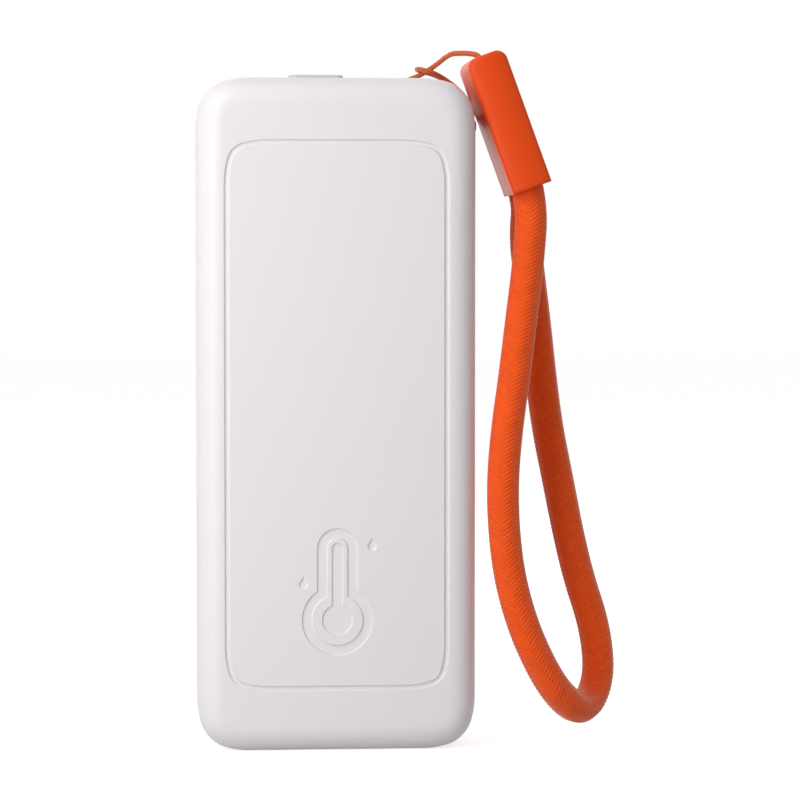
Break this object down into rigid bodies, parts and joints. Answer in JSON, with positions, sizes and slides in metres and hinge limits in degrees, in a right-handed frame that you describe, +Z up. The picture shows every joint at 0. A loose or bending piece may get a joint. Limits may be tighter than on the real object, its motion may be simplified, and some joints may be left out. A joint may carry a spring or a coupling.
{
  "type": "temperature and humidity sensor",
  "caption": "Upright rounded white sensor housing with a grooved front panel, moulded sign, top button, vented back and a braided orange wrist strap.",
  "frame": {"origin": "on the floor, under the middle of the housing's flat bottom", "axes": "+Z up along the housing, -Y out of the grooved front, +X to the strap's side as seen from the front"},
  "size_m": [0.0712, 0.022, 0.1159],
  "materials": {
    "white_housing": "fine satin moulding",
    "grey_button": "satin",
    "seal_rubber": "matt",
    "screw_steel": "plated",
    "board_laminate": "solder mask",
    "chip_black": "moulded",
    "chip_ceramic": "fired ceramic",
    "plated_steel": "nickel plated",
    "plunger_plastic": "moulded",
    "vent_membrane": "microporous film",
    "tray_plastic": "moulded",
    "cell_jacket": "lacquered",
    "strap_braid": "tubular braid",
    "ferrule_orange": "gloss moulding"
  },
  "bodies": {
    "housing": {"front_cover": "white_housing", "rear_cover": "white_housing", "cover_seal": "seal_rubber", "cover_screws": "screw_steel", "board_screws": "screw_steel", "circuit_board": "board_laminate", "radio_module": "board_laminate", "microcontroller": "chip_black", "switch_body": "chip_black", "chip_antenna": "chip_ceramic", "board_capacitors": "chip_ceramic", "humidity_sensor_chip": "chip_ceramic", "radio_shield_can": "plated_steel", "clock_crystal": "plated_steel", "positive_contact": "plated_steel", "negative_contact": "plated_steel", "link_contact": "plated_steel", "sensor_membrane": "vent_membrane", "battery_tray": "tray_plastic", "battery_left": "cell_jacket", "battery_right": "cell_jacket", "strap_cord": "strap_braid", "thin_loop": "strap_braid", "strap_ferrule": "ferrule_orange"},
    "button": {"power_button": "grey_button", "switch_plunger": "plunger_plastic"}
  },
  "joints": [
    {"name": "button_press", "type": "slide", "parent": "housing", "child": "button", "axis": [0, 0, -1], "range_m": [0, 0.00035], "stiffness_N_per_m": 600, "springref_m": -0.002}
  ]
}
